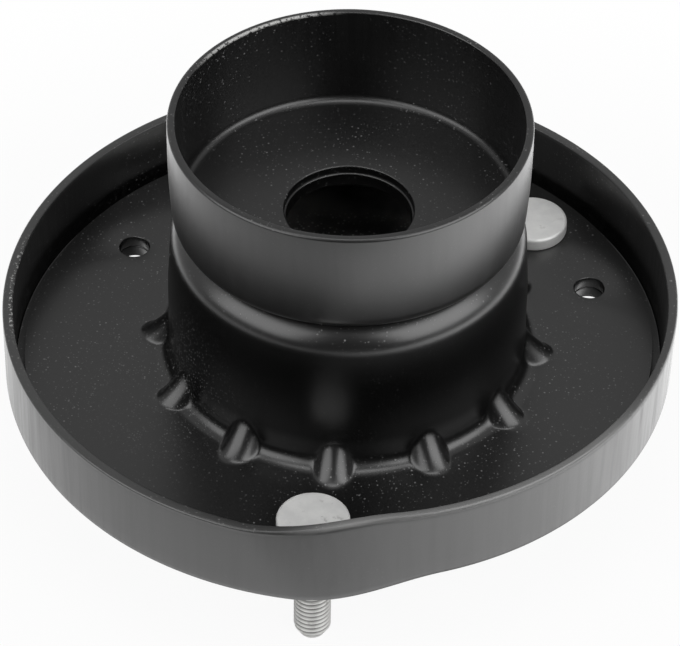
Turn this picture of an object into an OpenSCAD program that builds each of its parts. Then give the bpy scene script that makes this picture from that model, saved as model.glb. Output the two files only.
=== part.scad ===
// Strut mount: spring pan, neck hat, bump stop cup, studs and rod bush.
// Millimetres. +Z is up along the damper rod's axis. The origin lies on that axis,
// on the mounting face, which is the underside of the pan. The front stud is on -Y.

/* [Spring pan] */
// Outside radius of the rim on its wide side
rim_r = 94.3; // [92:0.1:100]
// How far the rim steps inwards at the end of the spring's coil
rim_step = 7.7; // [4:0.1:9]
// Height of the rim's edge above the mounting face
rim_h = 24.6; // [18:0.1:34]
// Thickness of the drawn rim wall
rim_t = 2.8; // [2:0.1:3.4]
// Thickness of the pan's floor
pan_t = 3.6; // [2.5:0.1:4]
// Outside radius of the bend between floor and rim
pan_bend_r = 3.4; // [3:0.1:5.5]
// Inside radius of the same bend
pan_corner_r = 1.2; // [0.4:0.1:2]
// Direction of the step at the rim's edge, in degrees from +X
step_az = -88; // [-120:1:-60]
// Arc over which the rim steps inwards, in degrees
step_arc = 26; // [16:1:40]
// How far the step leans along the rim from its edge to the floor, in degrees
step_lean = 9.5; // [0:0.5:15]
// Arc over which the rim grows back to its full radius, in degrees
grow_arc = 160; // [100:5:180]
// Radius of the opening in the middle of the pan
pan_open_r = 40; // [30:0.5:42]

/* [Neck hat] */
// Thickness of the hat's sheet
hat_t = 3.6; // [2.5:0.1:4]
// Outside radius of the neck at its foot
neck_r = 49; // [47:0.1:52]
// How much narrower the neck is under its shoulder
neck_draft = 0.8; // [0:0.1:2]
// Height of the hat's flat top above the mounting face
hat_h = 54.2; // [46:0.5:70]
// Outside radius of the shoulder between neck and top
shoulder_r = 8; // [5:0.1:10]
// Fillet between neck and flange, on the spring's side
neck_fillet_r = 4.6; // [2:0.1:6]
// Gap between the flange's edge and the rim wall
flange_gap = 2.6; // [2:0.1:4]
// How far the edge of the hat's hole stands inside the cup's hole
hat_lip = 0.6; // [0.2:0.1:3]

/* [Stiffening darts] */
// Number of darts around the neck
dart_n = 12; // [6:1:16]
// Direction of the first dart, in degrees from the front
dart_turn = 3; // [0:1:29]
// Half width of a dart
dart_r = 4.2; // [3:0.1:5]
// Height of a dart up the neck, above the flange
dart_rise = 8.5; // [7:0.1:12]
// Length of a dart along the flange, from the neck
dart_reach = 8.3; // [7:0.1:11]
// Wall left over a dart's hollow underside
dart_wall = 1.9; // [1.5:0.1:2.6]

/* [Bump stop cup] */
// Outside radius of the cup
cup_r = 48.4; // [46:0.1:52]
// Depth of the cup, inside
cup_depth = 30.3; // [20:0.1:45]
// Thickness of the cup's sheet
cup_t = 2.2; // [1.6:0.1:3]
// Outside radius of the bend between the cup's floor and wall
cup_bend_r = 4.6; // [3.1:0.1:7]
// Radius of the hole in the cup's floor
cup_hole_r = 17.4; // [12:0.1:24]

/* [Studs] */
// Radius of the circle that the studs stand on
stud_circle_r = 72.5; // [70:0.1:74]
// Angle of each rear stud from the back, in degrees
rear_stud_az = 40; // [25:1:50]
// Radius of the thread
stud_r = 5; // [4:0.1:6]
// Length of a stud below the mounting face
stud_len = 31.5; // [20:0.5:45]
// Radius of the serrated collar pressed into the sheets
collar_r = 5.6; // [5.2:0.1:6.8]
// Radius of a stud's head
head_r = 9.8; // [8.5:0.1:10.5]
// Height of a stud's head
head_h = 3.8; // [2.5:0.1:5]
// Radius of a stud's tip
tip_r = 3.3; // [2.5:0.1:3.8]
// Length of the tapered tip
tip_len = 3; // [1.5:0.1:4]

/* [Locating holes] */
// Radius of the two plain holes through flange and pan
locate_r = 4.2; // [2.5:0.1:5]
// Radius of the circle that the plain holes lie on
locate_circle_r = 72.4; // [66:0.1:75]
// Angle of each plain hole from the back, in degrees
locate_az = 63.5; // [60:0.5:75]

/* [Rod bush] */
// Thickness of the ring pressed into the neck
ring_t = 2; // [1.5:0.1:3]
// Height of the ring
ring_h = 26; // [20:0.5:32]
// Radius of the bore for the damper rod
rod_bore_r = 7.1; // [5.1:0.1:8.1]
// Wall of the rod sleeve
sleeve_t = 6.4; // [4:0.1:8]
// Length of the rod sleeve, from the mounting face
sleeve_len = 32; // [28:0.5:36]
// Radius of the sleeve's flange inside the rubber
sleeve_flange_r = 27; // [22:0.5:32]
// Thickness of that flange
sleeve_flange_t = 6; // [4:0.5:8]
// Depth of the hollow in the rubber's upper and lower face
rubber_dish = 4; // [2:0.5:6]

/* [Hidden] */
$fn = 96;
// Angle between two stations of the rim
rim_pitch = 4;
// Points along a quarter of a rounded edge
arc_n = 6;
// Edge rounding of trimmed sheet and stud heads
edge_r = 0.8;
// Larger rounding of the rim's outer edge
rim_round_r = rim_t - edge_r - 0.1;
// Larger rounding of the cup's outer edge
cup_round_r = cup_t - edge_r - 0.1;
// Height of the flange's upper face, which the spring rests on
seat_z = pan_t + hat_t;
// Inside radius of the neck
neck_bore_r = neck_r - hat_t;
// Height of the cup's floor and of its rim
cup_floor_z = hat_h + cup_t;
cup_top_z = cup_floor_z + cup_depth;
// Flat part of the pan inside the smallest bend of its rim
web_r = rim_r - rim_step - pan_bend_r - 1.5;
// Heights of the bush
ring_z = pan_t;
rubber_lo = ring_z + 2;
rubber_hi = ring_z + ring_h - 2;
sleeve_r = rod_bore_r + sleeve_t;
sleeve_mid = (rubber_lo + rubber_hi) / 2;

// Smooth rise from 0 to 1
function ease(t) = (1 - cos(180 * min(1, max(0, t)))) / 2;
// An angle brought into the turn that ends at 180 degrees
function wrap(a) = a - 360 * floor((a + 180) / 360);
// Outside radius of the rim at a direction and a height: full, a step inwards, then slowly full again
function rim_turn(a, z) = wrap(a - step_az - step_lean * (1 - z / rim_h));
function rim_at(a, z) = let (d = rim_turn(a, z))
    rim_r - rim_step * (ease(d / step_arc + 0.5) - ease((d - step_arc / 2) / grow_arc));
// Points of an arc about c from angle a to angle b
function arc(c, r, a, b, n = arc_n) =
    [for (i = [0 : n]) c + r * [cos(a + (b - a) * i / n), sin(a + (b - a) * i / n)]];

// Direction of each stud and of the plain holes
stud_az = [-90, 90 - rear_stud_az, 90 + rear_stud_az];
locate_azs = [90 - locate_az, 90 + locate_az];

module at_polar(r, a) {
    rotate([0, 0, a])
        translate([r, 0, 0])
            children();
}

// Holes through both sheets for the studs' collars and for the body's locating pins
module sheet_holes(z, t) {
    for (a = stud_az)
        at_polar(stud_circle_r, a)
            translate([0, 0, z - 1])
                cylinder(r = collar_r, h = t + 2);
    for (a = locate_azs)
        at_polar(locate_circle_r, a)
            translate([0, 0, z - 1])
                cylinder(r = locate_r, h = t + 2);
}

// Section of the rim, as [offset from the rim's radius, height], outside first and then back down the inside
rim_section = concat(
    arc([-pan_bend_r, pan_bend_r], pan_bend_r, -90, 0),
    arc([-rim_round_r, rim_h - rim_round_r], rim_round_r, 0, 90, 4),
    arc([edge_r - rim_t, rim_h - edge_r], edge_r, 90, 180, 2),
    arc([-rim_t - pan_corner_r, pan_t + pan_corner_r], pan_corner_r, 0, -90, 3)
);

// Rim swept along its spiral: each station repeats the section, closed by the floor's inner edge
module rim() {
    stations = [for (a = [0 : rim_pitch : 359]) a];
    rows = len(rim_section) + 2;
    points = [
        for (a = stations)
            let (
                u = [cos(a), sin(a)],
                radii = concat([web_r], [for (p = rim_section) rim_at(a, p[1]) + p[0]], [web_r]),
                heights = concat([0], [for (p = rim_section) p[1]], [pan_t])
            )
            for (k = [0 : rows - 1]) [u[0] * radii[k], u[1] * radii[k], heights[k]]
    ];
    n = len(stations);
    faces = [
        for (i = [0 : n - 1])
            for (k = [0 : rows - 1])
                let (j = (i + 1) % n, m = (k + 1) % rows)
                [i * rows + k, i * rows + m, j * rows + m, j * rows + k]
    ];
    polyhedron(points, faces, convexity = 6);
}

// Pressed pan: spiral rim around a flat floor that bears on the vehicle's body
module spring_pan() {
    color([0.06, 0.06, 0.065])
    difference() {
        union() {
            rim();
            cylinder(r = web_r + 0.75, h = pan_t);
        }
        translate([0, 0, -1])
            cylinder(r = pan_open_r, h = pan_t + 2);
        sheet_holes(0, pan_t);
    }
}

// Section of the bent sheet of the hat, from the hole in its top out to the flat flange
hat_out_r = neck_r + neck_fillet_r;
neck_top_r = neck_r - neck_draft;
// The neck is straight as far up as the ring inside it reaches
neck_straight_z = pan_t + ring_h + 2;
flange_in_r = neck_r + dart_reach + 3;
hat_section = concat(
    [[cup_hole_r - hat_lip, hat_h]],
    arc([neck_top_r - shoulder_r, hat_h - shoulder_r], shoulder_r, 90, 0),
    [[neck_r, neck_straight_z]],
    arc([hat_out_r, seat_z + neck_fillet_r], neck_fillet_r, 180, 270),
    [[flange_in_r + 2, seat_z], [flange_in_r + 2, pan_t]],
    arc([hat_out_r, seat_z + neck_fillet_r], neck_fillet_r + hat_t, 270, 180),
    [[neck_bore_r, neck_straight_z]],
    arc([neck_top_r - shoulder_r, hat_h - shoulder_r], shoulder_r - hat_t, 0, 90),
    [[cup_hole_r - hat_lip, hat_h - hat_t]]
);

// A dart lies along the line from the neck down to the flange
dart_run = [dart_reach, -dart_rise] / norm([dart_reach, -dart_rise]);
dart_tilt = atan2(dart_reach, dart_rise);
dart_axis = [neck_r, seat_z + dart_rise] - dart_r * [-dart_run[1], dart_run[0]];
dart_len = norm([dart_reach, dart_rise]);

// Place something along a dart's axis, with +Z running down towards the flange
module on_dart(a) {
    rotate([0, 0, a])
        translate([dart_axis[0], 0, dart_axis[1]])
            rotate([0, 180 - dart_tilt, 0])
                children();
}

module all_darts() {
    for (i = [0 : dart_n - 1])
        on_dart(-90 + dart_turn + i * 360 / dart_n)
            children();
}

// Hollow that the press leaves on the underside of a dart
module dart_hollow() {
    w = dart_r - dart_wall;
    translate([0, 0, -2 * dart_r])
        linear_extrude(height = dart_len + 4 * dart_r)
            union() {
                circle(r = w, $fn = 40);
                translate([0, -w])
                    square([4 * dart_r, 2 * w]);
            }
}

// Flat flange that follows the pan's rim
module flange() {
    outline = [
        for (a = [0 : rim_pitch : 359])
            let (r = rim_at(a, pan_t) - rim_t - flange_gap) [r * cos(a), r * sin(a)]
    ];
    translate([0, 0, pan_t])
        linear_extrude(height = hat_t)
            difference() {
                polygon(outline);
                circle(r = flange_in_r);
            }
}

// Pressed hat with darts bridging the corner between neck and flange
module neck_hat() {
    color([0.055, 0.055, 0.06])
    difference() {
        union() {
            rotate_extrude()
                polygon(hat_section);
            flange();
            intersection() {
                all_darts()
                    translate([0, 0, -dart_r])
                        cylinder(r = dart_r, h = dart_len + 2 * dart_r, $fn = 40);
                rotate_extrude()
                    translate([neck_bore_r + hat_t / 2, pan_t + hat_t / 2])
                        square([3 * dart_reach, 3 * dart_rise]);
            }
        }
        all_darts()
            dart_hollow();
        sheet_holes(pan_t, hat_t);
    }
}

// Section of the cup from its hole out to its rim and back inside
cup_section = concat(
    [[cup_hole_r, cup_floor_z], [cup_hole_r, hat_h]],
    arc([cup_r - cup_bend_r, hat_h + cup_bend_r], cup_bend_r, -90, 0),
    arc([cup_r - cup_round_r, cup_top_z - cup_round_r], cup_round_r, 0, 90, 4),
    arc([cup_r - cup_t + edge_r, cup_top_z - edge_r], edge_r, 90, 180, 3),
    arc([cup_r - cup_bend_r, hat_h + cup_bend_r], cup_bend_r - cup_t, 0, -90, 4)
);

// Drawn cup that holds the bump stop, welded to the hat's top
module bump_stop_cup() {
    color([0.065, 0.065, 0.07])
    rotate_extrude()
        polygon(cup_section);
}

// Section of a stud: head above the flange, collar through both sheets, thread and tapered tip
stud_section = concat(
    [[0, -stud_len], [tip_r, -stud_len], [stud_r, tip_len - stud_len], [stud_r, 0]],
    [[collar_r, 0], [collar_r, seat_z], [head_r, seat_z]],
    arc([head_r - edge_r, seat_z + head_h - edge_r], edge_r, 0, 90, 4),
    [[0, seat_z + head_h]]
);

module stud(a) {
    color([0.72, 0.72, 0.7])
    at_polar(stud_circle_r, a)
        rotate_extrude()
            polygon(stud_section);
}

module stud_front() {
    stud(stud_az[0]);
}

module stud_right() {
    stud(stud_az[1]);
}

module stud_left() {
    stud(stud_az[2]);
}

// Ring pressed into the neck, standing on the pan's floor
module bush_ring() {
    color([0.35, 0.35, 0.36])
    translate([0, 0, ring_z])
        difference() {
            cylinder(r = neck_bore_r, h = ring_h);
            translate([0, 0, -1])
                cylinder(r = neck_bore_r - ring_t, h = ring_h + 2);
        }
}

// Sleeve for the damper rod, with a flange that the rubber is moulded around
module sleeve_body(bore) {
    difference() {
        union() {
            cylinder(r = sleeve_r, h = sleeve_len);
            translate([0, 0, sleeve_mid - sleeve_flange_t / 2])
                cylinder(r = sleeve_flange_r, h = sleeve_flange_t);
        }
        if (bore)
            translate([0, 0, -1])
                cylinder(r = rod_bore_r, h = sleeve_len + 2);
    }
}

module rod_sleeve() {
    color([0.5, 0.5, 0.5])
    sleeve_body(true);
}

// Rubber between sleeve and ring, hollowed on both faces so that it can flex
rubber_r = neck_bore_r - ring_t;
rubber_mid_r = (sleeve_r + rubber_r) / 2;
rubber_section = [
    [sleeve_r - 1, rubber_lo], [sleeve_r + 2, rubber_lo],
    [rubber_mid_r - 3, rubber_lo + rubber_dish], [rubber_mid_r + 3, rubber_lo + rubber_dish],
    [rubber_r - 2, rubber_lo], [rubber_r, rubber_lo],
    [rubber_r, rubber_hi], [rubber_r - 2, rubber_hi],
    [rubber_mid_r + 3, rubber_hi - rubber_dish], [rubber_mid_r - 3, rubber_hi - rubber_dish],
    [sleeve_r + 2, rubber_hi], [sleeve_r - 1, rubber_hi]
];

module bush_rubber() {
    color([0.05, 0.05, 0.05])
    difference() {
        rotate_extrude()
            polygon(rubber_section);
        sleeve_body(false);
    }
}

spring_pan();
neck_hat();
bump_stop_cup();
stud_front();
stud_right();
stud_left();
bush_ring();
bush_rubber();
rod_sleeve();
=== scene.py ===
import math

import bmesh
import bpy
from mathutils import Matrix, Vector


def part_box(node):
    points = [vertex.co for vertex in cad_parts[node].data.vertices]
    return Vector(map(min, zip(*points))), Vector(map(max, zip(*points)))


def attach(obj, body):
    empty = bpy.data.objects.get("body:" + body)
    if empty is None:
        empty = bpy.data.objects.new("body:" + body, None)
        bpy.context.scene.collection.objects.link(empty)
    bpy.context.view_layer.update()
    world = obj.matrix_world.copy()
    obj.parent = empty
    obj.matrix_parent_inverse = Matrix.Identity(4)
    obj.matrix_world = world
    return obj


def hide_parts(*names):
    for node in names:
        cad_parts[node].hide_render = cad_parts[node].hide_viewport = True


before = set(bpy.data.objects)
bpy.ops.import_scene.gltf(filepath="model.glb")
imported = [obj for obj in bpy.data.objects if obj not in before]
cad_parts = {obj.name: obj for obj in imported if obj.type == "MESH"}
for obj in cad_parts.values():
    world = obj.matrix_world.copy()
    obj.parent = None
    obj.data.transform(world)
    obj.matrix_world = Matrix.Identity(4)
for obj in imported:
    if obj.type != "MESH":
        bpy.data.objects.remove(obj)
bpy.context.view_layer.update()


# Camera: it looks down on the spring's side of the mount, with the front stud nearest,
# from far enough away that the pan's ellipse hardly tapers.
view_turn = math.radians(6.5)
view_rise = math.radians(42.123)
view_roll = math.radians(0.872)
view_distance = 1.02328
view_aim = Vector((0.00211, -0.0358, 0.0471))
camera_data = bpy.data.cameras.new("camera")
camera_data.sensor_fit = "HORIZONTAL"
camera_data.sensor_width = 36
camera_data.lens = 206.08
camera_turn = (
    Matrix.Rotation(view_turn, 3, "Z")
    @ Matrix.Rotation(math.pi / 2 - view_rise, 3, "X")
    @ Matrix.Rotation(view_roll, 3, "Z")
)
camera = bpy.data.objects.new("camera", camera_data)
camera.matrix_world = Matrix.LocRotScale(
    view_aim + camera_turn @ Vector((0, 0, view_distance)), camera_turn, None
)
bpy.context.scene.collection.objects.link(camera)
bpy.context.scene.camera = camera
bpy.context.scene.view_settings.view_transform = "Standard"


# Studio: a pale table that the studs stand on, and soft boxes above and beside it.
# The table shows white to the camera and keeps the mount's soft shadow. In gloss it adds a painted
# glow to its lit white, brighter towards the right and back, and a painted shadow under the mount.
class Term:
    """One value in a finish: Python's operators on it add Math nodes."""

    def __init__(self, finish, socket):
        self.finish = finish
        self.socket = socket

    def _math(self, operation, first, second):
        return self.finish.node("ShaderNodeMath", {"operation": operation}, {0: first, 1: second})

    def __add__(self, other):
        return self._math("ADD", self, other)

    def __sub__(self, other):
        return self._math("SUBTRACT", self, other)

    def __rsub__(self, other):
        return self._math("SUBTRACT", other, self)

    def __mul__(self, other):
        return self._math("MULTIPLY", self, other)

    def __truediv__(self, other):
        return self._math("DIVIDE", self, other)

    __radd__ = __add__
    __rmul__ = __mul__

    def root(self):
        return self._math("POWER", self, 0.5)

    def least(self, other):
        return self._math("MINIMUM", self, other)

    def most(self, other):
        return self._math("MAXIMUM", self, other)

    def rise(self, low, high):
        """Smooth rise from 0 at low to 1 at high."""
        return self.finish.node(
            "ShaderNodeMapRange",
            {"interpolation_type": "SMOOTHSTEP"},
            {"Value": self, "From Min": low, "From Max": high},
        )


def span(*terms):
    """Length of a vector whose parts are terms."""
    return sum(term * term for term in terms).root()


class Finish:
    """A node tree that is written as expressions."""

    def __init__(self, tree):
        self.tree = tree
        tree.nodes.clear()

    def node(self, kind, settings, sockets, output=0):
        node = self.tree.nodes.new(kind)
        for name, value in settings.items():
            setattr(node, name, value)
        for name, value in sockets.items():
            if isinstance(value, Term):
                self.tree.links.new(value.socket, node.inputs[name])
            else:
                node.inputs[name].default_value = value
        return Term(self, node.outputs[output])

    def blend(self, share, first, second):
        """Colour that goes from first to second with share."""
        return self.node(
            "ShaderNodeMix",
            {"data_type": "RGBA"},
            {"Factor": share, 6: first, 7: second},
            2,
        )

    def parts(self, place):
        """X, Y and Z of a vector."""
        split = self.tree.nodes.new("ShaderNodeSeparateXYZ")
        self.tree.links.new(place.socket, split.inputs[0])
        return [Term(self, split.outputs[axis]) for axis in range(3)]

    def noise(self, place, scale, detail=2.0, rough=0.5):
        return self.node(
            "ShaderNodeTexNoise",
            {},
            {"Vector": place, "Scale": scale, "Detail": detail, "Roughness": rough},
        )

    def cells(self, place, scale):
        """Distance to the nearest of scattered points, and a share that is each point's own."""
        cell = {"Vector": place, "Scale": scale}
        near = self.node("ShaderNodeTexVoronoi", {"feature": "F1"}, cell)
        colour = self.node("ShaderNodeTexVoronoi", {"feature": "F1"}, cell, 1)
        return near, self.parts(colour)[0]

    def stretched(self, place, by):
        return self.node("ShaderNodeMapping", {}, {"Vector": place, "Scale": by})

    def bumps(self, height, strength, depth):
        sockets = {"Strength": strength, "Distance": depth, "Height": height}
        return self.node("ShaderNodeBump", {}, sockets)

    def surface(self, shader, kind="ShaderNodeOutputMaterial"):
        output = self.tree.nodes.new(kind)
        self.tree.links.new(shader.socket, output.inputs["Surface"])


def new_finish(name):
    material = bpy.data.materials.new(name)
    material.use_nodes = True
    return material, Finish(material.node_tree)


def ray_kinds(finish, *names):
    """1 where a ray of one of these kinds arrives, otherwise 0."""
    ray = finish.tree.nodes.new("ShaderNodeLightPath")
    kinds = [Term(finish, ray.outputs[name]) for name in names]
    return sum(kinds[1:], kinds[0]).least(1.0)


table_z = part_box("stud_front")[0].z
table_half, table_back, table_wide = 0.43, 0.17, 0.8
table_white = (0.86, 0.86, 0.86, 1)
shadow_share, shadow_full, shadow_end = 0.07, 0.14, 0.24
# radii over which the table's painted glow in gloss fades in: inside them is a painted shadow under
# the mount
shade_from, shade_to = 0.085, 0.110
painted_glow_x, painted_glow_y, painted_glow_middle = 2.2, 3.7, 0.86
painted_glow_dark, painted_glow_bright = (0.05, 0.05, 0.05, 1), (1.5, 1.5, 1.5, 1)
table_finish, tree = new_finish("table")
plain = tree.node("ShaderNodeBsdfDiffuse", {}, {"Color": table_white})
glow = tree.node("ShaderNodeEmission", {}, {"Color": (1, 1, 1, 1), "Strength": 1.0})
across = tree.parts(tree.node("ShaderNodeTexCoord", {}, {}, 3))
reach = span(across[0], across[1])
white_share = 1 - shadow_share * (1 - reach.rise(shadow_full, shadow_end))
shown = tree.node("ShaderNodeMixShader", {}, {0: white_share, 1: plain, 2: glow})
# Painted glow for gloss rays: brighter towards the right and back, left out under the mount as a
# painted shadow.
level = across[0] * painted_glow_x + across[1] * painted_glow_y + painted_glow_middle
painted_glow_colour = tree.blend(level.most(0.0).least(1.0), painted_glow_dark, painted_glow_bright)
painted_glow = tree.node("ShaderNodeEmission", {}, {"Color": painted_glow_colour, "Strength": 1.0})
bright = tree.node("ShaderNodeAddShader", {}, {0: plain, 1: painted_glow})
beyond = reach.rise(shade_from, shade_to)
mirrored = tree.node("ShaderNodeMixShader", {}, {0: beyond, 1: plain, 2: bright})
in_gloss = ray_kinds(tree, "Is Glossy Ray", "Is Transmission Ray")
in_camera = ray_kinds(tree, "Is Camera Ray")
shade = tree.node("ShaderNodeMixShader", {}, {0: in_gloss, 1: plain, 2: mirrored})
shade = tree.node("ShaderNodeMixShader", {}, {0: in_camera, 1: shade, 2: shown})
tree.surface(shade)

bm = bmesh.new()
bmesh.ops.create_grid(bm, x_segments=1, y_segments=1, size=table_half)
bmesh.ops.scale(bm, verts=bm.verts, vec=(table_wide, 1, 1))
bmesh.ops.translate(bm, verts=bm.verts, vec=(0, table_back, table_z))
table_mesh = bpy.data.meshes.new("table")
bm.to_mesh(table_mesh)
bm.free()
table_mesh.materials.append(table_finish)
table = bpy.data.objects.new("table", table_mesh)
bpy.context.scene.collection.objects.link(table)

front_level, back_level = 0.08, 0.48
front_end, back_from = -0.7, 0.5
world = bpy.data.worlds.new("studio")
bpy.context.scene.world = world
world.use_nodes = True
room = Finish(world.node_tree)
towards = room.parts(room.node("ShaderNodeTexCoord", {}, {}, 0))
room_front, room_back, room_seen = (
    room.node("ShaderNodeBackground", {}, {"Color": (1, 1, 1, 1), "Strength": strength})
    for strength in (front_level, back_level, 1.0)
)
backwards = towards[1].rise(front_end, back_from)
in_camera = ray_kinds(room, "Is Camera Ray")
room_light = room.node("ShaderNodeMixShader", {}, {0: backwards, 1: room_front, 2: room_back})
room_mix = room.node("ShaderNodeMixShader", {}, {0: in_camera, 1: room_light, 2: room_seen})
room.surface(room_mix, "ShaderNodeOutputWorld")

# name, direction seen from the mount (azimuth, elevation), distance, width, height, watts
soft_boxes = (
    ("soft_box_top", -84, 76, 1.3, 1.0, 0.42, 2.9),
    ("soft_box_right", -26, 30, 1.3, 1.35, 1.10, 11.6),
    ("soft_box_left", -140, 31, 1.3, 1.35, 1.05, 8.6),
)
for name, azimuth, elevation, distance, width, height, watts in soft_boxes:
    lamp = bpy.data.lights.new(name, "AREA")
    lamp.shape = "RECTANGLE"
    lamp.size, lamp.size_y = width, height
    lamp.energy = watts
    box = bpy.data.objects.new(name, lamp)
    turn = (
        Matrix.Rotation(math.radians(azimuth + 90), 3, "Z")
        @ Matrix.Rotation(math.radians(90 - elevation), 3, "X")
    )
    box.matrix_world = Matrix.LocRotScale(turn @ Vector((0, 0, distance)), turn, None)
    bpy.context.scene.collection.objects.link(box)


# Spring pan: a deep-drawn steel dish, dipped in black coat, that bears on the vehicle's body.
# Its rim is a spiral with one step, where the cut end of the coil spring stops.
MM = 0.001


def black_coat(name, gloss, drift=None, worn=None, pale_edge_height=None, dull=None, drawn=0.0):
    """Half-gloss black dip coat. Specks of dust lie on faces that look up or inwards and around
    the point drift. The inside of an edge is chipped around the spot worn, the band along the top
    edge at the given height is a paler grey, most at its front right, and the wall between the
    heights dull has a dull film.
    Draw marks run up the walls with the strength drawn."""
    black, faded = (0.0012, 0.0012, 0.0012, 1), (0.0021, 0.0021, 0.0021, 1)
    dust_grey, mark_grey = (0.22, 0.22, 0.22, 1), (0.07, 0.07, 0.07, 1)
    chip_grey, pale_edge_grey = (0.42, 0.42, 0.41, 1), (0.15, 0.15, 0.148, 1)
    coat_ior, film_ior = 1.8, 1.52
    speck_layers, heap_scale = ((1100, 0.23), (640, 0.22), (400, 0.13)), 1400
    wall_share, wiped_share = 0.08, 0.7

    material, coat = new_finish(name)
    place = coat.node("ShaderNodeTexCoord", {}, {}, 3)
    x, y, height = coat.parts(place)
    radius = span(x, y)
    facing_x, facing_y, facing_up = coat.parts(coat.node("ShaderNodeTexCoord", {}, {}, 1))
    outward = (x * facing_x + y * facing_y) / radius
    cloud = coat.noise(place, 38, 3.0)
    patch = coat.noise(place, 55, 2.0)
    grain = coat.noise(place, 900, 2.0)

    def around_point(point, low, high):
        """1 within low millimetres of the point, 0 beyond high."""
        away = [term - start * MM for term, start in zip((x, y, height), point)]
        return 1 - span(*away).rise(low * MM, high * MM)

    settled = facing_up.rise(0.1, 0.9).most((1 - outward.rise(-0.8, -0.1)) * 0.8)
    dusty = patch.rise(0.28, 0.68)
    if drift:
        settled = settled.most(around_point(drift, 8, 32))
        dusty = dusty.most(around_point(drift, 4, 26))
    specks = None
    for scale, size in speck_layers:
        near, chance = coat.cells(place, scale)
        speck = (1 - near.rise(size * 0.5, size)) * chance.rise(0.25, 1.1)
        specks = specks.most(speck) if specks else speck
    wiped = (1 - x.rise(-45 * MM, -5 * MM)) * (1 - y.rise(-55 * MM, -35 * MM))
    specks = specks * dusty * (wall_share + settled * (1 - wall_share))
    specks = specks * (1 - wiped * wiped_share)
    if drift:
        near, chance = coat.cells(place, heap_scale)
        heap = around_point(drift, 6, 36) * patch.rise(0.2, 0.55)
        specks = specks.most((1 - near.rise(0.14, 0.34)) * chance.rise(0.45, 1.0) * heap)

    rough = gloss + cloud * 0.06 + specks * 0.3
    shade = coat.blend(cloud.rise(0.3, 0.7), black, faded)
    bump = grain * 0.35
    if drawn:
        marks = coat.noise(coat.stretched(place, (1, 1, 0.035)), 620, 3.0, 0.6)
        scratch = marks.rise(0.62, 0.78) * patch.rise(0.4, 0.7)
        rough = rough + scratch * 0.16 * drawn + marks.rise(0.35, 0.7) * 0.08 * drawn
        shade = coat.blend(scratch * 0.4 * drawn, shade, mark_grey)
        bump = bump + marks * 0.6 * drawn
    if worn:
        spot, inside_r, bare = worn
        chips = coat.noise(place, 1100, 2.0, 0.6).rise(bare, bare + 0.08)
        edge = height.rise((spot[2] - 0.9) * MM, (spot[2] - 0.4) * MM) * around_point(spot, 12, 26)
        edge = edge * (1 - radius.rise((inside_r - 0.4) * MM, inside_r * MM))
        shade = coat.blend(edge * chips, shade, chip_grey)
        rough = rough + edge * 0.12
    # The top edge is a paler grey: a little all round, most at the front, right of the step.
    if pale_edge_height:
        front = x.rise(-8 * MM, 12 * MM) * (1 - y.rise(-50 * MM, -20 * MM))
        pale_edge = height.rise((pale_edge_height - 1.6) * MM, (pale_edge_height - 0.8) * MM) * (0.2 + front * 0.8)
        shade = coat.blend(pale_edge * (0.5 + cloud * 0.5), shade, pale_edge_grey)
    shade = coat.blend(specks, shade, dust_grey)

    normal = coat.bumps(bump + specks * 0.4, 0.10, 0.0002)
    look = {"Base Color": shade, "Roughness": rough, "Normal": normal}
    skin = coat.node("ShaderNodeBsdfPrincipled", {}, {**look, "IOR": coat_ior})
    if dull:
        film = coat.node("ShaderNodeBsdfPrincipled", {}, {**look, "IOR": film_ior})
        low, high = dull
        above = height.rise(low * MM, (low + 4) * MM)
        below = 1 - height.rise((high - 3) * MM, high * MM)
        skin = coat.node("ShaderNodeMixShader", {}, {0: above * below, 1: skin, 2: film})
    coat.surface(skin)
    return material


def bend(centre, radius, start, stop, count):
    """Points of an arc in a section, as (radius, height)."""
    turns = [math.radians(start + (stop - start) * i / count) for i in range(count + 1)]
    return [(centre[0] + radius * math.cos(t), centre[1] + radius * math.sin(t)) for t in turns]


def turned(section, steps, closed):
    """Section of (radius, height) in millimetres, turned once around the rod's axis."""
    bm = bmesh.new()
    points = [bm.verts.new((r * MM, 0, z * MM)) for r, z in section]
    ends = points[1:] + points[:1] if closed else points[1:]
    edges = [bm.edges.new(pair) for pair in zip(points, ends)]
    bmesh.ops.spin(
        bm, geom=points + edges, cent=(0, 0, 0), axis=(0, 0, 1),
        angle=math.tau, steps=steps, use_merge=True,
    )
    bmesh.ops.remove_doubles(bm, verts=bm.verts, dist=1e-7)
    return bm


def polar(vert):
    """Distance from the rod's axis in millimetres, and azimuth in degrees."""
    return math.hypot(vert.co.x, vert.co.y) / MM, math.degrees(math.atan2(vert.co.y, vert.co.x))


def set_radius(vert, radius):
    factor = radius * MM / math.hypot(vert.co.x, vert.co.y)
    vert.co.x *= factor
    vert.co.y *= factor


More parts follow.
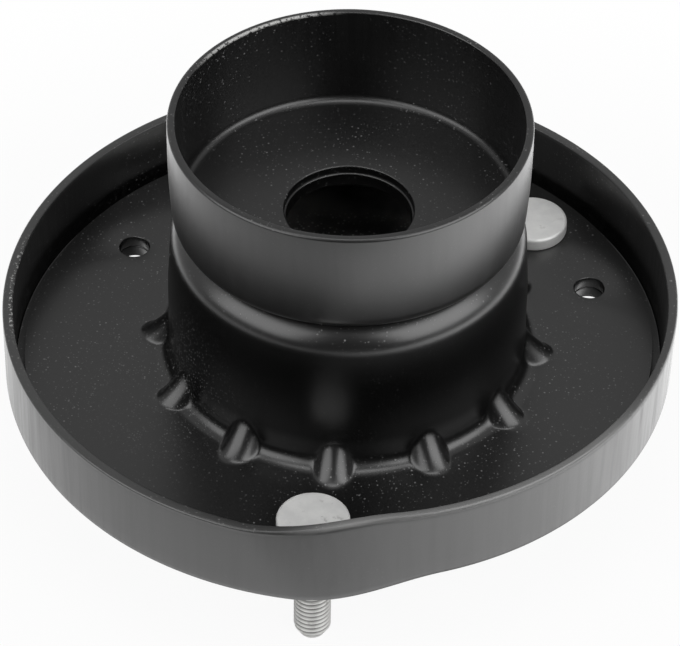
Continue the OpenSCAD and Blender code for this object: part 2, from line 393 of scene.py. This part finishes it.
def ring_sheet(inner, inner_steps, outer, outer_steps, low, high, holes, edge_round):
    """Flat sheet between two loops, with round holes whose edges are rounded. A loop's radius is
    a number or a function of the azimuth."""
    bm = bmesh.new()
    for radius, steps in ((inner, inner_steps), (outer, outer_steps)):
        loop = bmesh.ops.create_circle(bm, radius=1.0, segments=steps, cap_ends=False)["verts"]
        for vert in loop:
            angle = math.degrees(math.atan2(vert.co.y, vert.co.x))
            set_radius(vert, radius(angle) if callable(radius) else radius)
    for x, y, radius in holes:
        loop = bmesh.ops.create_circle(bm, radius=radius * MM, segments=48, cap_ends=False)["verts"]
        bmesh.ops.translate(bm, verts=loop, vec=(x * MM, y * MM, 0))
    bmesh.ops.triangle_fill(bm, edges=bm.edges, use_beauty=True, normal=(0, 0, 1))
    bmesh.ops.translate(bm, verts=bm.verts, vec=(0, 0, low * MM))
    lower = list(bm.faces)
    upper = bmesh.ops.extrude_face_region(bm, geom=lower, use_keep_orig=True)["geom"]
    top_verts = [g for g in upper if isinstance(g, bmesh.types.BMVert)]
    bmesh.ops.translate(bm, verts=top_verts, vec=(0, 0, (high - low) * MM))
    spots = [(Vector((x * MM, y * MM)), radius * MM) for x, y, radius in holes]

    def punched(edge):
        low_end, high_end = sorted(vert.co.z for vert in edge.verts)
        return high_end - low_end < 1e-6 and any(
            all(abs((vert.co.xy - spot).length - r) < 1e-5 for vert in edge.verts)
            for spot, r in spots
        )

    bmesh.ops.bevel(
        bm, geom=[edge for edge in bm.edges if punched(edge)],
        offset=edge_round * MM, offset_type="OFFSET", affect="EDGES",
        segments=3, profile=0.5, material=-1,
    )
    return bm


def opened(sheet, radius):
    """The sheet without its wall at that radius, so that it joins a turned section there."""
    walls = [
        face for face in sheet.faces
        if abs(face.normal.z) < 0.5
        and all(abs(polar(vert)[0] - radius) < 0.05 for vert in face.verts)
    ]
    bmesh.ops.delete(sheet, geom=walls, context="FACES_ONLY")
    return sheet


def merged(bm, *others):
    """Joins meshes that share edge points into one."""
    for other in others:
        mesh = bpy.data.meshes.new("joined")
        other.to_mesh(mesh)
        other.free()
        bm.from_mesh(mesh)
        bpy.data.meshes.remove(mesh)
    bmesh.ops.remove_doubles(bm, verts=bm.verts, dist=2e-6)
    return bm


def finished(name, bm, material, crease=50):
    """Object of a mesh with smooth faces and creased edges, riding on the mount."""
    bmesh.ops.recalc_face_normals(bm, faces=bm.faces)
    for face in bm.faces:
        face.smooth = True
    for edge in bm.edges:
        edge.smooth = len(edge.link_faces) == 2 and edge.calc_face_angle(0) < math.radians(crease)
    mesh = bpy.data.meshes.new(name)
    bm.to_mesh(mesh)
    bm.free()
    mesh.materials.append(material)
    piece = bpy.data.objects.new(name, mesh)
    bpy.context.scene.collection.objects.link(piece)
    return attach(piece, "root")


rim_r, rim_step, rim_h, rim_t, rim_round_r, edge_r = 94.24, 7.7, 24.6, 2.8, 0.7, 0.5
step_az, step_arc, step_lean, grow_arc = -88.0, 26.0, 9.5, 160.0
# the trimmed edge is rounder and thinner between these azimuths, right of the step
worn_from, worn_full, worn_fade, worn_end = -98.0, -84.0, -15.0, 15.0
worn_r, worn_thin, worn_h = 1.4, 0.5, 5.0
pan_t, pan_bend_r, pan_corner_r, pan_open_r, pan_hole_edge_r = 3.6, 3.4, 0.4, 40.0, 0.35
web_r = 81.7
stud_circle_r, stud_azimuths, collar_r = 72.5, (-90, 50, 130), 5.6
locate_circle_r, locate_azimuths, locate_r = 72.4, (26.5, 153.5), 4.2


def ease(t):
    """Smooth way from 0 to 1."""
    return (1 - math.cos(math.pi * min(1, max(0, t)))) / 2


def rim_at(azimuth, height):
    """Outside radius of the rim: full, a leaning step inwards, then slowly full again."""
    turn = azimuth - step_az - step_lean * (1 - height / rim_h)
    turn -= 360 * math.floor((turn + 180) / 360)
    return rim_r - rim_step * (ease(turn / step_arc + 0.5) - ease((turn - step_arc / 2) / grow_arc))


def around(radius, azimuth):
    turn = math.radians(azimuth)
    return radius * math.cos(turn), radius * math.sin(turn)


sheet_holes = [(*around(stud_circle_r, a), collar_r) for a in stud_azimuths]
sheet_holes += [(*around(locate_circle_r, a), locate_r) for a in locate_azimuths]


def trimmed(radius, top, thick, outer):
    """Trimmed edge of drawn sheet with its two rounded corners, as points of a section."""
    return (
        bend((radius - outer, top - outer), outer, 0, 90, 8)
        + bend((radius - thick + edge_r, top - edge_r), edge_r, 90, 180, 6)
    )


wall_top = rim_h - rim_round_r - worn_r - 0.6
inner_top, inner_foot = rim_h - 1, pan_t + pan_corner_r
rim_section = (
    [(web_r, 0)]
    + bend((rim_r - pan_bend_r, pan_bend_r), pan_bend_r, -90, 0, 10)
    + [(rim_r, pan_bend_r + (wall_top - pan_bend_r) * i / 5) for i in range(1, 6)]
    + trimmed(rim_r, rim_h, rim_t, rim_round_r)
    + [(rim_r - rim_t, inner_top - (inner_top - inner_foot) * i / 6) for i in range(1, 6)]
    + bend((rim_r - rim_t - pan_corner_r, inner_foot), pan_corner_r, 0, -90, 5)
    + [(web_r, pan_t)]
)
bm = turned(rim_section, 360, False)
for vert in bm.verts:
    radius, azimuth = polar(vert)
    height, depth = vert.co.z / MM, radius - rim_r
    share = ease((azimuth - worn_from) / (worn_full - worn_from))
    share -= ease((azimuth - worn_fade) / (worn_end - worn_fade))
    if height > rim_h - rim_round_r - 0.1 and depth > -worn_r:
        height -= share * (worn_r - math.sqrt(max(0, worn_r ** 2 - (depth + worn_r) ** 2)))
        vert.co.z = height * MM
    if radius > web_r + 0.5:
        inside = depth < 0.8 - rim_t
        thin = worn_thin * share * max(0, (height - rim_h + worn_h) / worn_h) if inside else 0
        set_radius(vert, depth + thin + rim_at(azimuth, height))
floor = ring_sheet(pan_open_r, 180, web_r, 360, 0, pan_t, sheet_holes, pan_hole_edge_r)
pan_chips = ((-92, -8, rim_h), rim_r - 1.5, 0.54)
spring_pan = finished(
    "pan",
    merged(bm, opened(floor, web_r)),
    black_coat("pan_coat", 0.27, worn=pan_chips, pale_edge_height=rim_h, drawn=1.0),
)
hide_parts("spring_pan")


# Neck hat: one pressing of thick sheet, welded on the pan. Its flange carries the spring,
# and darts pressed into the corner between flange and neck keep that corner from folding.
hat_t, neck_r, neck_draft, hat_h, shoulder_r, neck_fillet_r = 3.6, 49.0, 0.8, 54.2, 8.2, 4.5
seat_z, neck_straight_z = pan_t + hat_t, 31.6
hat_hole_r, hole_edge_r = 16.8, 0.5
flange_join_r, flange_gap, flange_hole_edge_r = 62.0, 2.6, 0.4
dart_count, dart_first, dart_rise, dart_reach, dart_sag, dart_soft = 12, -87.0, 8.5, 8.3, 0.5, 0.7
dart_top_r, dart_foot_r, dart_flank = 4.2, 6.2, math.radians(56)
dart_zone_z, dart_fade = 20.0, 2.5

fillet_centre = (neck_r + neck_fillet_r, seat_z + neck_fillet_r)
shoulder_centre = (neck_r - neck_draft - shoulder_r, hat_h - shoulder_r)
flange_rows = [flange_join_r + (fillet_centre[0] - flange_join_r) * i / 14 for i in range(15)]
neck_rows = [
    fillet_centre[1] + (dart_zone_z - fillet_centre[1]) * i / 14 for i in range(1, 15)
]
hat_section = (
    [(r, seat_z) for r in flange_rows[:-1]]
    + bend(fillet_centre, neck_fillet_r, 270, 180, 10)
    + [(neck_r, z) for z in neck_rows + [neck_straight_z]]
    + bend(shoulder_centre, shoulder_r, 0, 90, 14)
    + bend((hat_hole_r + hole_edge_r, hat_h - hole_edge_r), hole_edge_r, 90, 180, 4)
    + [(hat_hole_r, hat_h - hat_t)]
    + bend(shoulder_centre, shoulder_r - hat_t, 90, 0, 6)
    + [(neck_r - hat_t, neck_straight_z)]
    + bend(fillet_centre, neck_fillet_r + hat_t, 180, 270, 8)
    + [(flange_join_r, pan_t)]
)
dart_long = math.hypot(dart_rise, dart_reach)
dart_out = Vector((dart_rise, dart_reach)) / dart_long
dart_down = Vector((dart_reach, -dart_rise)) / dart_long
dart_top = Vector((neck_r, seat_z + dart_rise))


def dart_height(place, across):
    """How far a dart lifts the corner there, along its own outward direction."""
    reach = place - dart_top
    along = min(1, max(0, reach.dot(dart_down) / dart_long))
    back_r = dart_top_r + (dart_foot_r - dart_top_r) * along
    rounded = min(abs(across), back_r * math.sin(dart_flank))
    flank = math.sqrt(back_r * back_r - rounded * rounded) - back_r
    flank -= (abs(across) - rounded) * math.tan(dart_flank)
    ridge = -reach.dot(dart_out) - dart_sag * math.sin(math.pi * along)
    lift = ridge + flank
    return (lift + math.sqrt(lift * lift + dart_soft * dart_soft)) / 2


bm = turned(hat_section, 960, False)
pitch = 360 / dart_count
dart_end_z = dart_zone_z - 0.1
for vert in bm.verts:
    radius, azimuth = polar(vert)
    z = vert.co.z / MM
    outside = radius > neck_r - 0.01 and seat_z - 0.01 < z < dart_end_z
    if not outside or radius > flange_join_r - 0.4:
        continue
    turn = azimuth - dart_first
    turn -= pitch * round(turn / pitch)
    side = math.radians(turn)
    place = Vector((radius * math.cos(side), z))
    across = radius * math.sin(side)
    fade = ease((flange_join_r - radius) / dart_fade) * ease((dart_end_z - z) / dart_fade)
    place += dart_out * dart_height(place, across) * fade
    centre = math.radians(azimuth - turn)
    vert.co.x = (place.x * math.cos(centre) - across * math.sin(centre)) * MM
    vert.co.y = (place.x * math.sin(centre) + across * math.cos(centre)) * MM
    vert.co.z = place.y * MM


def flange_edge(azimuth):
    """Radius of the flange's outer edge, which follows the rim."""
    return rim_at(azimuth, pan_t) - rim_t - flange_gap


flange = ring_sheet(
    flange_join_r, 960, flange_edge, 360, pan_t, seat_z, sheet_holes, flange_hole_edge_r
)
neck_hat = finished(
    "hat",
    merged(bm, opened(flange, flange_join_r)),
    black_coat("hat_coat", 0.27, drift=(-46, -24, 16), dull=(14, 48)),
)
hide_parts("neck_hat")


# Bump stop cup: a drawn cup of thinner sheet, welded by its floor to the hat's top.
# The foam bump stop sits in it, and the damper rod passes through its hole.
cup_r, cup_depth, cup_t, cup_bend_r, cup_hole_r = 48.4, 30.3, 2.2, 4.6, 17.4
cup_corner_r, cup_round_r, cup_lean, lean_h = 2.4, 0.95, 0.8, 20.0
cup_floor_z = hat_h + cup_t
cup_top_z = cup_floor_z + cup_depth
cup_section = (
    bend((cup_hole_r + hole_edge_r, cup_floor_z - hole_edge_r), hole_edge_r, 90, 180, 4)
    + [(cup_hole_r, hat_h)]
    + bend((cup_r - cup_lean - cup_bend_r, hat_h + cup_bend_r), cup_bend_r, -90, 0, 8)
    + [
        (cup_r - cup_lean * (1 - i / 8) ** 2, hat_h + cup_bend_r + lean_h * i / 8)
        for i in range(1, 9)
    ]
    + trimmed(cup_r, cup_top_z, cup_t, cup_round_r)
    + bend((cup_r - cup_t - cup_corner_r, cup_floor_z + cup_corner_r), cup_corner_r, 0, -90, 8)
)
cup_chips = ((-30, 36, cup_top_z), cup_r - 1.4, 0.38)
bump_stop_cup = finished(
    "cup",
    turned(cup_section, 360, True),
    black_coat("cup_coat", 0.29, worn=cup_chips, drawn=0.4),
)
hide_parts("bump_stop_cup")


# Studs: zinc-plated steel, pressed through flange and pan from the spring's side.
# A flat round head holds each one, and its rolled thread stands out below for the body's nut.
stud_r, stud_len, head_r, head_h, head_edge_r = 5.0, 31.5, 9.8, 3.8, 0.9
tip_r, tip_len, tip_flat_r = 3.3, 3.0, 2.7
thread_pitch, thread_depth, thread_top, thread_run_out = 1.5, 0.92, -0.6, 2.0
thread_rows, groove_half = 8, 0.40


def zinc_plate(name, axis):
    """Bright zinc with fine wear, a slight yellow cast, dirt spots, a darker thread and painted
    shade in the thread's grooves around the axis.
    """
    dull_zinc, bright_zinc = (0.87, 0.87, 0.86, 1), (0.95, 0.95, 0.935, 1)
    dirt_and_thread_grey, groove_shade_grey = (0.30, 0.29, 0.27, 1), (0.05, 0.05, 0.047, 1)
    material, plate = new_finish(name)
    place = plate.node("ShaderNodeTexCoord", {}, {}, 3)
    x, y, height = plate.parts(place)
    radius = span(x - axis[0] * MM, y - axis[1] * MM)
    thread = 1 - height.rise(-1.5 * MM, -0.5 * MM)
    groove = thread * height.rise((tip_len * 0.3 - stud_len) * MM, (tip_len - stud_len) * MM)
    groove = groove * (1 - radius.rise((stud_r - 0.75) * MM, (stud_r - 0.1) * MM))
    cloud = plate.noise(place, 260, 4.0, 0.6)
    grain = plate.noise(place, 1500, 2.0)
    dirt = plate.noise(place, 420, 3.0, 0.6).rise(0.60, 0.72)
    dirt = dirt * plate.noise(place, 90, 1.0).rise(0.4, 0.65)
    shade = plate.blend(cloud.rise(0.3, 0.7), dull_zinc, bright_zinc)
    # Dirt spots, and the whole thread a little darker than the head.
    shade = plate.blend(dirt * 0.45 + thread * 0.3, shade, dirt_and_thread_grey)
    # Painted shade deep in the thread's grooves.
    shade = plate.blend(groove * 0.8, shade, groove_shade_grey)
    normal = plate.bumps(grain * 0.6 + cloud, 0.25, 0.0002)
    look = {"Base Color": shade, "Roughness": 0.40 + cloud * 0.2, "Metallic": 0.42}
    plate.surface(plate.node("ShaderNodeBsdfPrincipled", {}, {**look, "Normal": normal}))
    return material


row_step = thread_pitch / thread_rows
thread_count = int(stud_len / row_step)
stud_section = (
    [(0, -stud_len), (tip_flat_r, -stud_len)]
    + [(stud_r, -stud_len + stud_len * i / thread_count) for i in range(1, thread_count)]
    + [(stud_r, 0), (collar_r, 0), (collar_r, seat_z), (head_r - 0.2, seat_z)]
    + bend((head_r - 0.5, seat_z + 0.5), 0.5, -45, 0, 3)
    + bend((head_r - head_edge_r, seat_z + head_h - head_edge_r), head_edge_r, 0, 90, 6)
    + [(0, seat_z + head_h)]
)
for node, azimuth in zip(("stud_front", "stud_right", "stud_left"), stud_azimuths):
    bm = turned(stud_section, 64, False)
    for vert in bm.verts:
        radius, turn = polar(vert)
        z = vert.co.z / MM
        if -stud_len + 0.01 < z < thread_top and radius > 1:
            phase = (z / thread_pitch - turn / 360) % 1.0
            groove = thread_depth * max(0.0, 1 - abs(phase - 0.5) / groove_half)
            groove *= ease((thread_top - z) / thread_run_out)
            cone = tip_r + (stud_r - tip_r) * (z + stud_len) / tip_len
            set_radius(vert, min(stud_r - groove, cone))
    x, y = around(stud_circle_r, azimuth)
    bmesh.ops.translate(bm, verts=bm.verts, vec=(x * MM, y * MM, 0))
    stud = finished(node + "_threaded", bm, zinc_plate(node + "_zinc", (x, y)))
    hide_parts(node)


# Rod bush: a steel ring pressed into the neck, a flanged sleeve for the damper rod,
# and rubber bonded between them, hollowed on both faces so that it can flex.
ring_t, ring_h, rod_bore_r, sleeve_r, sleeve_len = 2.0, 26.0, 7.1, 13.5, 32.0
sleeve_flange_r, sleeve_flange_t, rubber_dish = 27.0, 6.0, 4.0
ring_edge_r, sleeve_edge_r, bore_edge_r = 0.4, 0.6, 0.8
ring_r = neck_r - hat_t
rubber_r = ring_r - ring_t
rubber_low, rubber_high = pan_t + 2, pan_t + ring_h - 2


def plain_steel(name):
    """Turned steel with fine rings and a clouded sheen."""
    material, steel = new_finish(name)
    place = steel.node("ShaderNodeTexCoord", {}, {}, 3)
    turning = steel.noise(steel.stretched(place, (0.05, 0.05, 1)), 2600, 2.0)
    cloud = steel.noise(place, 120, 3.0)
    shade = steel.blend(cloud, (0.20, 0.20, 0.205, 1), (0.42, 0.42, 0.42, 1))
    normal = steel.bumps(turning, 0.2, 0.0001)
    look = {"Base Color": shade, "Roughness": 0.35 + cloud * 0.2, "Metallic": 1.0}
    steel.surface(steel.node("ShaderNodeBsdfPrincipled", {}, {**look, "Normal": normal}))
    return material


def soft_rubber(name):
    """Dull rubber, with dust on its inner part that came in through the cup's hole."""
    black, greyed = (0.03, 0.03, 0.03, 1), (0.12, 0.117, 0.112, 1)
    dust_grey = (0.6, 0.6, 0.58, 1)
    material, rubber = new_finish(name)
    place = rubber.node("ShaderNodeTexCoord", {}, {}, 3)
    x, y, _ = rubber.parts(place)
    cloud = rubber.noise(place, 90, 3.0)
    grain = rubber.noise(place, 1800, 2.0)
    near, _ = rubber.cells(place, 800)
    inner = 1 - span(x, y).rise(27 * MM, 39 * MM)
    dust = (1 - near.rise(0.15, 0.35)) * cloud.rise(0.35, 0.6) * inner
    shade = rubber.blend(cloud.rise(0.3, 0.75), black, greyed)
    shade = rubber.blend(dust * 0.8, shade, dust_grey)
    normal = rubber.bumps(grain, 0.3, 0.0001)
    look = {"Base Color": shade, "Roughness": 0.6 + cloud * 0.25, "Normal": normal}
    rubber.surface(rubber.node("ShaderNodeBsdfPrincipled", {}, look))
    return material


steel = plain_steel("plain_steel")
ring_in, ring_out = rubber_r + ring_edge_r, ring_r - ring_edge_r
ring_low, ring_high = pan_t + ring_edge_r, pan_t + ring_h - ring_edge_r
ring_section = (
    bend((ring_out, ring_low), ring_edge_r, -90, 0, 3)
    + bend((ring_out, ring_high), ring_edge_r, 0, 90, 3)
    + bend((ring_in, ring_high), ring_edge_r, 90, 180, 3)
    + bend((ring_in, ring_low), ring_edge_r, 180, 270, 3)
)
bush_ring = finished("bush_ring_turned", turned(ring_section, 180, True), steel)
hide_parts("bush_ring")

sleeve_mid = (rubber_low + rubber_high) / 2
flange_low, flange_high = sleeve_mid - sleeve_flange_t / 2, sleeve_mid + sleeve_flange_t / 2
flange_corners = [
    (sleeve_r, flange_low), (sleeve_flange_r, flange_low),
    (sleeve_flange_r, flange_high), (sleeve_r, flange_high),
]
bore_edge, sleeve_edge = rod_bore_r + bore_edge_r, sleeve_r - sleeve_edge_r
sleeve_section = (
    bend((bore_edge, bore_edge_r), bore_edge_r, 180, 270, 3)
    + bend((sleeve_edge, sleeve_edge_r), sleeve_edge_r, -90, 0, 3)
    + flange_corners
    + bend((sleeve_edge, sleeve_len - sleeve_edge_r), sleeve_edge_r, 0, 90, 3)
    + bend((bore_edge, sleeve_len - bore_edge_r), bore_edge_r, 90, 180, 3)
)
rod_sleeve = finished("rod_sleeve_turned", turned(sleeve_section, 180, True), steel)
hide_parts("rod_sleeve")

rubber_mid = (sleeve_r + rubber_r) / 2
dish_half = (rubber_r - sleeve_r) / 2


def dish(share):
    """Depth of the hollow in the rubber's face, from -1 at the sleeve to 1 at the ring."""
    return rubber_dish * (1 - abs(share) ** 3)


shares = [-1 + 2 * i / 24 for i in range(25)]
rubber_section = (
    [(rubber_mid + dish_half * s, rubber_low + dish(s)) for s in shares]
    + [(rubber_mid - dish_half * s, rubber_high - dish(s)) for s in shares]
    + flange_corners[::-1]
)
bush_rubber = finished(
    "bush_rubber_moulded", turned(rubber_section, 180, True), soft_rubber("rubber")
)
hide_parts("bush_rubber")
